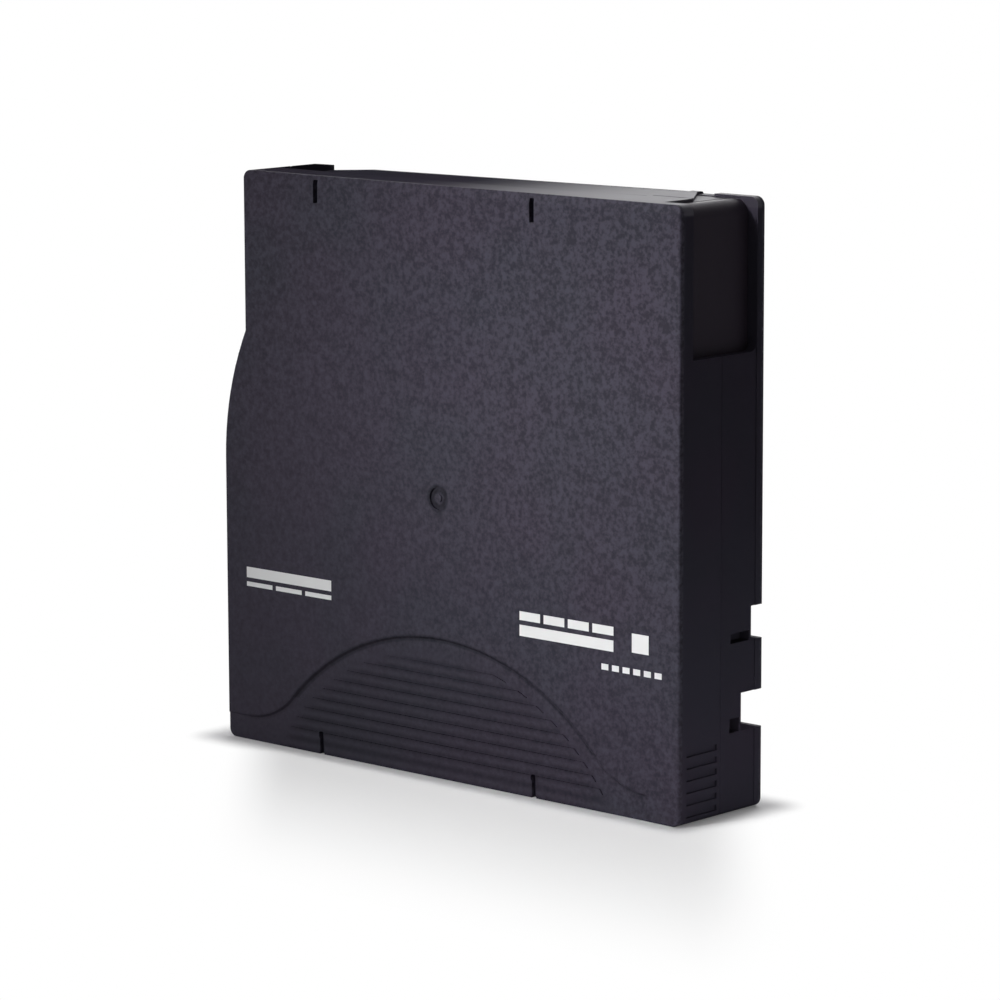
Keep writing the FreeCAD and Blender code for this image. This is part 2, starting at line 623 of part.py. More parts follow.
def upper_shell():
    low, high = as_size(0), TOP
    body = start_shell("upper_shell", low, high, TOP, CEILING)
    shell_inside(body, S["shell_gap"], CEILING, PIN_CEILING)

    # square post that guides the brake button, and the ring that centres its spring
    half = S["guide_post"] / 2
    post_end = REEL_Z + BUTTON_FACE + S["socket_floor"] + S["brake_travel"] + S["rest_gap"]
    add(body, "guide_post", [rectangle(REEL_X - half, REEL_X + half, REEL_Y - half, REEL_Y + half)],
        post_end, CEILING)
    inner = S["brake_coil_radius"] + S["brake_wire"] / 2 + S["spring_ring_clear"]
    add(body, "spring_ring", ring(REEL_X, REEL_Y, inner + S["spring_ring_wall"], inner),
        CEILING - S["spring_ring_rise"], CEILING)

    shell_openings(body, low, high)
    pilot = S["screw_shank"] + S["pilot_clear"]
    cut(body, "pilot_holes", [("circle", x, y, pilot) for x, y in SCREWS], low,
        HEAD_SEAT + S["screw_length"] + S["pilot_over"])

    # outer face: lead-in along the front edge, grip field with ribs, gate dimple, slots, side grooves
    lead, drop = S["front_lead"], S["front_lead_drop"]
    cut(body, "front_lead_in", [[(LENGTH - lead, TOP), (LENGTH + lead, TOP - drop * 2),
                                 (LENGTH + lead, TOP + OUTSIDE), (LENGTH - lead, TOP + OUTSIDE)]],
        -HALF_WIDTH - OUTSIDE, HALF_WIDTH + OUTSIDE, "YZ_Plane")
    recess = TOP - S["grip_depth"]
    field = cut(body, "grip_field", [grip_outline()], recess, TOP)
    bind(field, "TaperAngle", -S["grip_slope"])
    add(body, "grip_rib_rows", grip_ribs(), recess, recess + S["grip_rib_rise"])
    gate = ("circle", -S["dimple_x"], S["dimple_y"], S["gate_radius"])
    cut(body, "gate_dimple", [("circle", -S["dimple_x"], S["dimple_y"], S["dimple_radius"])],
        TOP - S["dimple_depth"], TOP + OUTSIDE)
    add(body, "gate_mark", [gate], TOP - S["dimple_depth"], TOP - S["dimple_depth"] + S["gate_rise"])
    half_slot = S["slot_width"] / 2
    front_end = LENGTH - S["front_slot_land"]
    slots = [rectangle(x - half_slot, x + half_slot, rear, front)
             for x in (-S["slot_left"], S["slot_right"])
             for rear, front in ((as_size(-OUTSIDE), S["slot_length"]),
                                 (front_end - S["slot_length"], front_end))]
    cut(body, "edge_slots", slots, TOP - S["slot_depth"], TOP + OUTSIDE)
    deep = HALF_WIDTH - S["band_step"] - S["side_groove_depth"]
    grooves = []
    for number in range(int(SIZES["side_grooves"])):
        y = S["side_first"] + S["side_pitch"] * number
        grooves.append(rectangle(deep, HALF_WIDTH + OUTSIDE, y - S["side_groove"] / 2,
                                 y + S["side_groove"] / 2))
    cut(body, "side_grooves", grooves, S["side_groove_foot"], TOP - S["side_groove_top"])


def lower_shell():
    low, high = BOTTOM, as_size(0)
    body = start_shell("lower_shell", low, high, BOTTOM, FLOOR)
    shell_inside(body, FLOOR, -S["shell_gap"], PIN_FLOOR)

    # seat ring of the reel, walls round the robot notches, bosses of the datum holes
    seat = REEL_Z - FLANGE_FACE - S["seat_gap"]
    add(body, "reel_seat", ring(REEL_X, REEL_Y, S["hub_opening"] + S["seat_ring_width"], S["hub_opening"]),
        FLOOR, seat)
    wall = S["notch_wall"]
    slit_x = HALF_WIDTH - S["band_step"] - S["slit_depth"]
    slit_wall = S["slit_wall"]
    for name in ("front", "rear"):
        y, length = S[name + "_notch_y"], S[name + "_notch_length"]
        notch_top = BOTTOM + S[name + "_notch_height"]
        box = rectangle(HALF_WIDTH - S[name + "_notch_depth"] - wall, INNER_X + ROOT, y - wall,
                        y + length + wall)
        add(body, name + "_notch_walls", [box], FLOOR, notch_top + wall)
        backing = rectangle(slit_x - slit_wall, INNER_X + ROOT, y - wall,
                            y + S[name + "_slit_length"] + slit_wall)
        add(body, name + "_slit_walls", [backing], FLOOR, notch_top + S[name + "_slit_height"] + slit_wall)
    boss = S["datum_radius"] + S["datum_wall"]
    datum_top = BOTTOM + S["datum_depth"] + S["datum_wall"]
    add(body, "datum_boss", [("circle", *DATUM, boss)], FLOOR, datum_top)
    slot_reach = S["datum_slot"] / 2
    half_boss = S["datum_radius"] + S["datum_slot_wall"]
    slot_x, slot_y = DATUM_SLOT
    slot_boss = rectangle(slot_x - slot_reach - half_boss, slot_x + slot_reach + half_boss,
                          slot_y - half_boss, slot_y + half_boss)
    add(body, "datum_slot_boss", [slot_boss], FLOOR, datum_top)

    shell_openings(body, low, high)
    cut(body, "hub_opening", [("circle", REEL_X, REEL_Y, S["hub_opening"])], low, FLOOR + NICK)
    cut(body, "screw_holes", [("circle", x, y, S["screw_shank"] + S["screw_clear"]) for x, y in SCREWS],
        low, high)
    cut(body, "screw_seats", [("circle", x, y, S["screw_head"] + S["head_clear"]) for x, y in SCREWS],
        low, HEAD_SEAT)
    for name in ("front", "rear"):
        y, length = S[name + "_notch_y"], S[name + "_notch_length"]
        notch_top = BOTTOM + S[name + "_notch_height"]
        box = rectangle(HALF_WIDTH - S[name + "_notch_depth"], HALF_WIDTH + OUTSIDE, y, y + length)
        cut(body, name + "_notch", [box], low, notch_top)
        slit = rectangle(slit_x, HALF_WIDTH + OUTSIDE, y, y + S[name + "_slit_length"])
        cut(body, name + "_slit", [slit], notch_top + S["slit_web"], notch_top + S[name + "_slit_height"])

    radius = S["datum_radius"]
    cut(body, "datum_hole", [("circle", *DATUM, radius)], low, low + S["datum_depth"])
    round_slot = [(slot_x - slot_reach, slot_y - radius), (slot_x + slot_reach, slot_y - radius, radius),
                  (slot_x + slot_reach + radius, slot_y, radius), (slot_x + slot_reach, slot_y + radius),
                  (slot_x - slot_reach, slot_y + radius, radius),
                  (slot_x - slot_reach - radius, slot_y, radius)]
    cut(body, "datum_slot_cut", [round_slot], low, low + S["datum_depth"])

    # front edge: a small dip between the front wall's end and the corner, a bevel at the left end
    dip_left = HALF_WIDTH - S["corner_dip_side"]
    dip = rectangle(dip_left, dip_left + S["corner_dip_length"], LENGTH - S["corner_dip"], LENGTH + OUTSIDE)
    cut(body, "corner_dip_cut", [dip], low, FLOOR)
    bevel, drop = S["front_end_bevel"], S["front_end_drop"]
    wedge = [(LENGTH - drop * 2, BOTTOM - bevel), (LENGTH + drop, BOTTOM - bevel),
             (LENGTH + drop, BOTTOM + bevel * 2)]
    cut(body, "front_end_wedge", [wedge], -HALF_WIDTH - OUTSIDE, RECESS_LEFT, "YZ_Plane")


# ---------------------------------------------------------------- the other pieces

def case_screws():
    body = new_body("case_screws")
    body.AllowCompound = True
    tip = HEAD_SEAT + S["screw_length"]
    add(body, "heads", [("circle", x, y, S["screw_head"]) for x, y in SCREWS],
        HEAD_SEAT - S["screw_head_rise"], HEAD_SEAT)
    add(body, "shanks", [("circle", x, y, S["screw_shank"]) for x, y in SCREWS], HEAD_SEAT, tip)
    low = HEAD_SEAT - S["screw_head_rise"]
    recesses = [cross(x, y, S["recess_length"] / 2, S["recess_width"] / 2) for x, y in SCREWS]
    cut(body, "driver_recesses", recesses, low, low + S["recess_depth"])


def door():
    """A strip that slides along the right wall, with a nose that rounds the front corner."""
    body = new_body("door")
    nose = S["door_nose"]
    inner_nose = nose - S["door_thickness"]
    front = LENGTH - S["door_front_gap"]
    rear = DOOR_REAR
    centre_x = DOOR_OUT - nose
    profile = [(DOOR_OUT, rear), (DOOR_OUT, front - nose, nose), (centre_x, front),
               (DOOR_TIP, front), (DOOR_TIP, front - S["door_thickness"]),
               (centre_x, front - S["door_thickness"], -inner_nose), (DOOR_IN, front - nose),
               (DOOR_IN, rear)]
    add(body, "door_strip", [profile], DOOR_LOW, DOOR_TOP)
    half = S["door_boss_height"] / 2
    boss = rectangle(SPRING_X - S["door_coil_radius"], DOOR_OUT, rear, rear + S["door_boss"])
    add(body, "spring_boss", [boss], -half, half)


def coil(body, radius, wire, coils, height):
    """A compression spring that starts at the body's origin and rises along its Z axis.

    Each coil is two half rings, tilted opposite ways, which meet with no kink."""
    pitch = (height - wire) / coils
    halves = []
    for name, side, start in (("first_half", 1, wire / 2), ("second_half", -1, wire / 2 + pitch / 2)):
        middle = start + pitch / 4
        axis = ((0, middle), (pitch * (side / 2), middle + radius * 2))
        halves.append(revolve(body, name, ("circle", radius * side, start, wire / 2), axis, 180))
    rows = body.newObject("PartDesign::LinearPattern", "coils")
    rows.Originals = halves
    rows.Direction = (origin_part(body, "Z_Axis"), [""])
    bind(rows, "Length", pitch * (coils - 1))
    bind(rows, "Occurrences", coils)
    body.Tip = rows


def springs():
    gap = S["rest_gap"]
    door_spring = new_body("door_spring", SPRING_X, SPRING_STOP + gap, 0, upright=Rotation())
    coil(door_spring, S["door_coil_radius"], S["door_wire"], S["door_coils"],
         DOOR_REAR - SPRING_STOP - gap * 2)
    start = REEL_Z + BUTTON_TOP + gap
    brake_spring = new_body("brake_spring", REEL_X, REEL_Y, start)
    coil(brake_spring, S["brake_coil_radius"], S["brake_wire"], S["brake_coils"], CEILING - gap - start)


def write_protect_tab():
    body = new_body("write_protect_tab")
    half = S["window_height"] / 2
    lap = S["tab_lap"]
    right = KNOB_LEFT + S["knob_width"]
    plate = rectangle(KNOB_LEFT - lap, right + lap, TAB_Y, TAB_BACK)
    add(body, "tab_plate", [plate], -half - S["tab_height_lap"], half + S["tab_height_lap"])
    face = S["knob_recess"]
    knob = rectangle(KNOB_LEFT, right, face, TAB_Y + ROOT)
    add(body, "tab_knob", [knob], S["knob_gap"] - half, half - S["knob_gap"])
    ridges = []
    for number in range(int(SIZES["ridges"])):
        x = KNOB_LEFT + S["ridge_first"] + S["ridge_pitch"] * number
        ridges.append(rectangle(x, x + S["ridge_width"], face - S["ridge_rise"], face + ROOT))
    add(body, "tab_ridges", ridges, S["ridge_end"] - half, half - S["ridge_end"])


def memory():
    """The board stands on edge across the rear right corner, with its chip towards the corner."""
    middle = (FLOOR + CEILING) / 2
    half_length, half_height = S["board_length"] / 2, (CEILING - FLOOR) / 2 - S["board_end_gap"]
    half = S["board_thickness"] / 2
    board = new_body("memory_board", BOARD_X, BOARD_Y, middle, 45)
    add(board, "laminate", [rectangle(-half_length, half_length, -half, half)], -half_height, half_height)
    chip = new_body("memory_chip", BOARD_X, BOARD_Y, middle, 45)
    side = S["chip_size"] / 2
    add(chip, "package", [rectangle(-side, side, -half - S["chip_rise"], -half)], -side, side)


def reel_body(label):
    return new_body(label, REEL_X, REEL_Y, REEL_Z)


def reel_hub():
    """Hub and lower flange in one moulding, with the chuck ring below and the brake ring inside."""
    body = reel_body("reel_hub")
    bore = as_size(0)
    spigot = HUB_INNER + S["hub_wall"] / 2
    profile = [(bore, BOSS_FACE), (CHUCK_RADIUS, BOSS_FACE), (CHUCK_RADIUS, -FLANGE_FACE),
               (S["flange_radius"], -FLANGE_FACE), (S["flange_radius"], -HALF_GAP),
               (HUB_RADIUS, -HALF_GAP), (HUB_RADIUS, HALF_GAP), (spigot, HALF_GAP),
               (spigot, HALF_GAP + S["spigot_rise"]), (HUB_INNER, HALF_GAP + S["spigot_rise"]),
               (HUB_INNER, HUB_FLOOR_TOP), (bore, HUB_FLOOR_TOP)]
    revolve(body, "hub_form", profile)

    chuck_in = CHUCK_RADIUS - S["chuck_ring_width"]
    add(body, "chuck_ring", ring(0, 0, CHUCK_RADIUS, chuck_in), CHUCK_FACE, BOSS_FACE)
    half = S["chuck_tooth_width"] / 2
    tooth = [(-half, CHUCK_FACE), (-half / 2, CHUCK_TIP), (half / 2, CHUCK_TIP), (half, CHUCK_FACE)]
    inset = S["chuck_tooth_inset"]
    first = add(body, "chuck_tooth", [tooth], chuck_in + inset, CHUCK_RADIUS - inset, "YZ_Plane")
    repeat_round(body, "chuck_teeth", first, S["chuck_teeth"])

    add(body, "brake_ring", ring(0, 0, BRAKE_OUTER, BRAKE_INNER), HUB_FLOOR_TOP, HUB_TOOTH_TIP)
    top = S["brake_tooth_root"] / 2 + S["brake_clear"]
    foot = S["brake_tooth_tip"] / 2 + S["brake_clear"]
    gap = [(-foot, HUB_TOOTH_ROOT), (foot, HUB_TOOTH_ROOT), (top, HUB_TOOTH_TIP), (-top, HUB_TOOTH_TIP)]
    first = cut(body, "brake_gap", [gap], BRAKE_INNER - ROOT, BRAKE_OUTER + ROOT, "YZ_Plane")
    repeat_round(body, "brake_gaps", first, S["brake_teeth"])

    # room for the release spider: a gateway through the brake ring and a hole for each leg
    half_arm = S["release_arm"] / 2 + S["leg_clear"] * 2
    gate = cut(body, "arm_gate",
               [rectangle(BRAKE_INNER - OUTSIDE, BRAKE_OUTER + OUTSIDE, -half_arm, half_arm)],
               HUB_FLOOR_TOP, HUB_TOOTH_TIP)
    repeat_round(body, "arm_gates", gate, as_size(3))
    reach = S["leg_depth"] / 2 + S["leg_clear"]
    width = S["leg_width"] / 2 + S["leg_clear"]
    hole = cut(body, "leg_hole", [rectangle(LEG_REACH - reach, LEG_REACH + reach, -width, width)],
               CHUCK_TIP, HUB_FLOOR_TOP)
    repeat_round(body, "leg_holes", hole, as_size(3))


def reel_round_parts():
    flange = reel_body("reel_upper_flange")
    bore = HUB_INNER + S["hub_wall"] / 2 + S["rest_gap"]
    add(flange, "flange_disc", ring(0, 0, S["flange_radius"], bore), HALF_GAP, FLANGE_FACE)

    plate = reel_body("reel_plate")
    outer = LEG_REACH - S["leg_depth"] / 2 - S["leg_clear"] - S["plate_leg_gap"]
    add(plate, "steel_washer", ring(0, 0, outer, S["plate_bore"]),
        BOSS_FACE - S["plate_thickness"], BOSS_FACE)

    pack = reel_body("tape_pack")
    half = S["tape_width"] / 2
    add(pack, "wound_tape", ring(0, 0, PACK_RADIUS, HUB_RADIUS + S["rest_gap"]), -half, half)


def tape_leader():
    """The straight stretch of tape from the pack's tangent point to the leader pin's clip."""
    across = PIN_X - REEL_X
    along = PIN_Y - REEL_Y
    apart = root(across * across + along * along)
    off = PACK_RADIUS + S["leader_clear"]
    run = root(apart * apart - off * off)
    # unit vector from the pin to the tangent point, and its normal towards the front wall
    dir_x = (-across * run - along * off) / (apart * apart)
    dir_y = (-along * run + across * off) / (apart * apart)
    start = S["clip_radius"] + S["rest_gap"]
    thick = S["leader_thickness"]
    half = S["tape_width"] / 2
    spots = ((start, 0), (start, 1), (run, 1), (run, 0))
    loop = [(PIN_X + dir_x * reach + dir_y * thick * side, PIN_Y + dir_y * reach - dir_x * thick * side)
            for reach, side in spots]
    body = new_body("tape_leader")
    add(body, "leader_strip", [loop], REEL_Z - half, REEL_Z + half)


def leader_pin():
    """A steel pin with two flanges at each end, and the plastic clip that traps the tape on it."""
    pin = new_body("leader_pin", PIN_X, PIN_Y, REEL_Z)
    top = S["pin_length"] / 2
    groove = top - S["pin_end_flange"]
    inner = groove - S["pin_groove"]
    foot = inner - S["pin_inner_flange"]
    neck, flange = S["pin_neck"], S["pin_flange"]
    steps = [(flange, top), (flange, groove), (neck, groove), (neck, inner), (flange, inner), (flange, foot),
             (neck, foot)]
    lower = [(radius, -height) for radius, height in reversed(steps)]
    revolve(pin, "pin_form", [(0, top), *steps, *lower, (0, -top)][::-1])

    clip = new_body("leader_pin_clip", PIN_X, PIN_Y, REEL_Z)
    half = S["clip_length"] / 2
    add(clip, "clip_tube", ring(0, 0, S["clip_radius"], S["clip_bore"]), -half, half)
    mouth = S["clip_mouth"] / 2
    cut(clip, "clip_mouth_cut", [rectangle(0, S["clip_radius"] + OUTSIDE, -mouth, mouth)], -half, half)


def pin_catches():
    """Two hairpins of spring wire that close the pin's pockets, one at each end of the pin."""
    wire = S["catch_wire"]
    groove = S["pin_length"] / 2 - S["pin_end_flange"] - S["pin_groove"] / 2
    line_x = PIN_X + S["pin_neck"] + wire / 2 + S["rest_gap"]
    front = INNER_FRONT - wire / 2 - S["rest_gap"]
    for label, level in (("pin_spring_upper", REEL_Z + groove), ("pin_spring_lower", REEL_Z - groove)):
        body = new_body(label)
        bend = S["catch_bend"]
        path = body.newObject("Sketcher::SketchObject", label + "_path")
        path.AttachmentSupport = [(origin_part(body, "XY_Plane"), "")]
        path.MapMode = "FlatFace"
        bind(path, "AttachmentOffset.Base.z", level)
        corners = [(line_x - bend - S["catch_foot"], front), (line_x - bend, front),
                   (line_x, front - bend), (line_x, PIN_Y - S["catch_tail"])]
        spots = [Vector(x.value, y.value, 0) for x, y in corners]
        lines = [(path.addGeometry(Part.LineSegment(spots[0], spots[1])), 1, 2),
                 draw_arc(path, spots[1], spots[2], -bend.value),
                 (path.addGeometry(Part.LineSegment(spots[2], spots[3])), 1, 2)]
        rules = []
        for index, (geometry, start, end) in enumerate(lines):
            pin_point(geometry, start, *corners[index], rules)
            if index < 2:
                following, its_start, _ = lines[index + 1]
                rules.append((Sketcher.Constraint("Coincident", geometry, end, following, its_start), None))
        pin_point(lines[2][0], lines[2][2], *corners[3], rules)
        rules.append((Sketcher.Constraint("Radius", lines[1][0], bend.value), bend.text))
        path.addConstraint([rule for rule, _ in rules])
        for index, (_, text) in enumerate(rules):
            if text:
                path.setExpression(f"Constraints[{index}]", text)
        section = draw(body, label + "_section", [("circle", front, level, wire / 2)], "YZ_Plane",
                       corners[0][0])
        pipe = body.newObject("PartDesign::AdditivePipe", label + "_form")
        pipe.Profile = section
        pipe.Spine = path


def brake_button():
    """A toothed disc that rides on the upper shell's square post and locks the hub."""
    body = reel_body("brake_button")
    disc = BRAKE_OUTER + S["brake_clear"]
    revolve(body, "button_form", [
        (as_size(0), RELEASE_TOP + S["rest_gap"]), (S["pivot_radius"], RELEASE_TOP + S["rest_gap"]),
        (S["pivot_radius"], BUTTON_FACE), (disc, BUTTON_FACE), (disc, BUTTON_TOP),
        (S["socket_radius"], BUTTON_TOP), (S["socket_radius"], BUTTON_TOP + S["socket_rise"]),
        (as_size(0), BUTTON_TOP + S["socket_rise"])])
    root_half, tip_half = S["brake_tooth_root"] / 2, S["brake_tooth_tip"] / 2
    tooth = [(-root_half, BUTTON_FACE), (-tip_half, BUTTON_TOOTH_TIP), (tip_half, BUTTON_TOOTH_TIP),
             (root_half, BUTTON_FACE)]
    first = add(body, "button_tooth", [tooth], BRAKE_INNER, BRAKE_OUTER, "YZ_Plane")
    repeat_round(body, "button_teeth", first, S["brake_teeth"])
    half = S["guide_post"] / 2 + S["guide_clear"]
    cut(body, "socket", [rectangle(-half, half, -half, half)], BUTTON_FACE + S["socket_floor"],
        BUTTON_TOP + S["socket_rise"])


def brake_release_spider():
    """Three arms under the brake button; the drive pushes their legs up through the hub."""
    body = reel_body("brake_release_spider")
    add(body, "spider_centre", [("circle", 0, 0, S["release_centre"])], RELEASE_LOW, RELEASE_TOP)
    half = S["release_arm"] / 2
    reach, leg = LEG_REACH, S["leg_depth"] / 2
    corner = S["arm_corner"]
    arm = [(as_size(0), -half), (reach + leg - corner, -half), (reach + leg, corner - half),
           (reach + leg, half - corner), (reach + leg - corner, half), (as_size(0), half)]
    repeat_round(body, "spider_arms", add(body, "spider_arm", [arm], RELEASE_LOW, RELEASE_TOP), as_size(3))
    width = S["leg_width"] / 2
    foot = add(body, "spider_leg", [rectangle(reach - leg, reach + leg, -width, width)],
               CHUCK_TIP + S["leg_short"], RELEASE_LOW)
    repeat_round(body, "spider_legs", foot, as_size(3))


for make in (upper_shell, lower_shell, case_screws, door, springs, write_protect_tab, memory, reel_hub,
             reel_round_parts, tape_leader, leader_pin, pin_catches, brake_button, brake_release_spider):
    make()
    doc.recompute()

for thing in doc.Objects:
    faults = [state for state in thing.State if state in ("Invalid", "Error")]
    if faults:
        raise RuntimeError(f"{thing.Name} failed: {faults}")
for piece in PIECES:
    if piece.Shape.isNull() or not piece.Shape.isValid():
        raise RuntimeError(f"{piece.Label} has no valid shape")

os.makedirs("parts", exist_ok=True)
for piece in PIECES:
    piece.Shape.exportStep(f"parts/{piece.Label}.step")
    box = piece.Shape.BoundBox
    spans = ((box.XMin, box.XMax), (box.YMin, box.YMax), (box.ZMin, box.ZMax))
    reach = "  ".join(f"{axis} {low:.2f} {high:.2f}" for axis, (low, high) in zip("XYZ", spans))
    print(f"{piece.Label}: {len(piece.Shape.Solids)} solid, {piece.Shape.Volume:.1f} mm3, {reach}")
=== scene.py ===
"""Looks of the single-reel data tape cartridge: finishes, printed marks, springs, floor, light and camera.

The cartridge stands on its rear edge. X runs to the door side, -Y out of the upper shell's main face
and Z up to the front edge. Lengths are in metres.
"""

import json
import math

import bmesh
import bpy
from mathutils import Matrix, Vector


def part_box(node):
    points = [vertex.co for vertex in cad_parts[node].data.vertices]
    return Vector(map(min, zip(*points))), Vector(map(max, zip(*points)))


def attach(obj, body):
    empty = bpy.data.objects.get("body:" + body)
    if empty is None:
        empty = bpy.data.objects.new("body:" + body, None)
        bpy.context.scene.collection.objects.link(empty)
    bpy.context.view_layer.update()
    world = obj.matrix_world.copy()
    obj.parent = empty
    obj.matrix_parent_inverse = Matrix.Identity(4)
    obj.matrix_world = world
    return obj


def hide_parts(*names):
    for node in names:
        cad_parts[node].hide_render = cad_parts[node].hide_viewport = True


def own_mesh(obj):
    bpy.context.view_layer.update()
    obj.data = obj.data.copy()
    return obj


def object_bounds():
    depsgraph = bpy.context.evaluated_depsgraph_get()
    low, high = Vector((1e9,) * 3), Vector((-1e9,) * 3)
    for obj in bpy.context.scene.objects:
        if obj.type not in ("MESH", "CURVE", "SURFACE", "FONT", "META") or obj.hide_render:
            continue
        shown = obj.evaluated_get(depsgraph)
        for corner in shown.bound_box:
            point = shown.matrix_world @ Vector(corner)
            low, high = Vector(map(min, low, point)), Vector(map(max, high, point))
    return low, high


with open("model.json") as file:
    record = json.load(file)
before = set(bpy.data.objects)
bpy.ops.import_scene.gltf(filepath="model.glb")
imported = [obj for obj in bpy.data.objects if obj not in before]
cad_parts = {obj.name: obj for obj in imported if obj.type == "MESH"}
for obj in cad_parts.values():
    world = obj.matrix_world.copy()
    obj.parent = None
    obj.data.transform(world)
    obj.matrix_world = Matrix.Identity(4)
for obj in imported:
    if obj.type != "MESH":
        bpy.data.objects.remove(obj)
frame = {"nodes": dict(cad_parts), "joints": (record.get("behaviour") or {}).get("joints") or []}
cad_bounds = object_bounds()

MM = 0.001

# the case and the reel, from the frame
CASE_LOW, CASE_HIGH = cad_bounds
CASE_MIDDLE, CASE_HALF = (CASE_LOW + CASE_HIGH) / 2, (CASE_HIGH - CASE_LOW) / 2
MAIN_FACE, LOWER_FACE = CASE_LOW.y, CASE_HIGH.y
FRONT_EDGE = CASE_HIGH.z
REEL_LOW, REEL_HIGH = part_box("reel_upper_flange")
REEL_AXIS = ((REEL_LOW.x + REEL_HIGH.x) / 2, (REEL_LOW.z + REEL_HIGH.z) / 2)

# the grip field on the main face: an arch whose sides flare out at their feet, with ribs inside.
# A centre is its X and Z. A flare's centre lies to the side of the arch's by FLARE_OFFSET.
GRIP_MIDDLE, GRIP_PEAK, GRIP_FOOT = -0.9 * MM, 24.6 * MM, 4.6 * MM
GRIP_RADIUS, FLARE_RADIUS = 49.0 * MM, 15.0 * MM
GRIP_CENTRE = (GRIP_MIDDLE, GRIP_PEAK - GRIP_RADIUS)
FLARE_HEIGHT = GRIP_FOOT + FLARE_RADIUS
FLARE_RISE, FLARE_SPAN = FLARE_HEIGHT - GRIP_CENTRE[1], GRIP_RADIUS + FLARE_RADIUS
FLARE_OFFSET = math.sqrt(FLARE_SPAN ** 2 - FLARE_RISE ** 2)
FLARE_TOP = GRIP_CENTRE[1] + FLARE_RISE * GRIP_RADIUS / FLARE_SPAN
RIB_START, RIB_PITCH = 3.0 * MM, 2.0 * MM

# the gate dimple's centre, and the ring of painted shade on its wall
DIMPLE = (GRIP_MIDDLE, 48.8 * MM)
DIMPLE_SHADE_RING = (1.3 * MM, 2.1 * MM)

# printed ink, and the share of it that is sunk in the face
INK_THICKNESS, INK_SUNK = 0.04 * MM, 0.25

BOARD_HALF_THICKNESS = 0.4 * MM
WIRE_COLOUR = (0.66, 0.66, 0.67)
FILM_COLOUR = (0.035, 0.026, 0.022)
REEL_COLOUR = (0.62, 0.63, 0.64)

# the floor's painted soft shadow: the way it falls in X and -Y, how far, and how softly it starts at its
# edges
SHADOW_WAY, SHADOW_REACH = (0.675, 0.738), 95 * MM
SHADOW_SIDE, SHADOW_START = 26 * MM, 10 * MM
# the painted contact shadow's reach round the foot, and the share of the floor's own lit shade kept in each
# painted shadow
CONTACT_REACH = 8 * MM
FALLEN_SHARE, CONTACT_SHARE = 0.46, 0.9

# the even light that comes from all round
AMBIENT = 0.1

# the camera: its place, its turns in degrees, and its lens and sensor in millimetres
CAMERA_PLACE = (0.4967, -0.5395, 0.1694)
CAMERA_YAW, CAMERA_PITCH, CAMERA_ROLL = 42.427, 9.454, -0.172
LENS, SENSOR_WIDTH = 156.1, 36.0


# ---------------------------------------------------------------- node building

class Amount:
    """A number that a node gives, on which sums are written as plain expressions."""

    def __init__(self, tree, socket):
        self.tree = tree
        self.socket = socket

    def maths(self, operation, *values):
        return Amount(self.tree, self.tree.node("ShaderNodeMath", {"operation": operation}, *values))

    def __add__(self, other):
        return self.maths("ADD", self, other)

    def __sub__(self, other):
        return self.maths("SUBTRACT", self, other)

    def __rsub__(self, other):
        return self.maths("SUBTRACT", other, self)

    def __mul__(self, other):
        return self.maths("MULTIPLY", self, other)

    def __truediv__(self, other):
        return self.maths("DIVIDE", self, other)

    __radd__ = __add__
    __rmul__ = __mul__

    def __abs__(self):
        return self.maths("ABSOLUTE", self)

    def root(self):
        return self.maths("SQRT", self)

    def most(self, other):
        return self.maths("MAXIMUM", self, other)

    def least(self, other):
        return self.maths("MINIMUM", self, other)

    def wave(self, length, start=0.0):
        """1 at start and at every whole length from it, 0 half way between."""
        return self.maths("COSINE", (self - start) * (2 * math.pi / length)) * 0.5 + 0.5

    def rise(self, low, high):
        """0 below low, 1 above high and smooth between them."""
        settings = {"interpolation_type": "SMOOTHSTEP", "clamp": True}
        return Amount(self.tree, self.tree.node("ShaderNodeMapRange", settings, Value=self,
                                                **{"From Min": low, "From Max": high}))

    def line(self, low, high, soft):
        """1 between low and high, with soft edges outside them."""
        return self.rise(low - soft, low) * (1 - self.rise(high, high + soft))


def distance(first, second):
    """The length of a step that goes first one way and second at right angles to it."""
    return (first * first + second * second).root()


class NodeTree:
    """A tree of nodes that is built by plain calls."""

    def __init__(self, tree):
        self.tree = tree

    def node(self, kind, settings=None, *values, output=0, **named):
        """Adds a node: its settings first, then the values or links of its sockets."""
        made = self.tree.nodes.new(kind)
        for name, value in (settings or {}).items():
            setattr(made, name, value)
        for key, value in [*enumerate(values), *named.items()]:
            self.feed(made.inputs[key], value)
        return made.outputs[output]

    def feed(self, socket, value):
        """Links a node's output to the socket, or sets a plain value on it."""
        if isinstance(value, Amount):
            value = value.socket
        if isinstance(value, bpy.types.NodeSocket):
            self.tree.links.new(value, socket)
        else:
            socket.default_value = value

    def existing(self, kind):
        """The node of that type that the tree was made with."""
        return next(node for node in self.tree.nodes if node.type == kind)


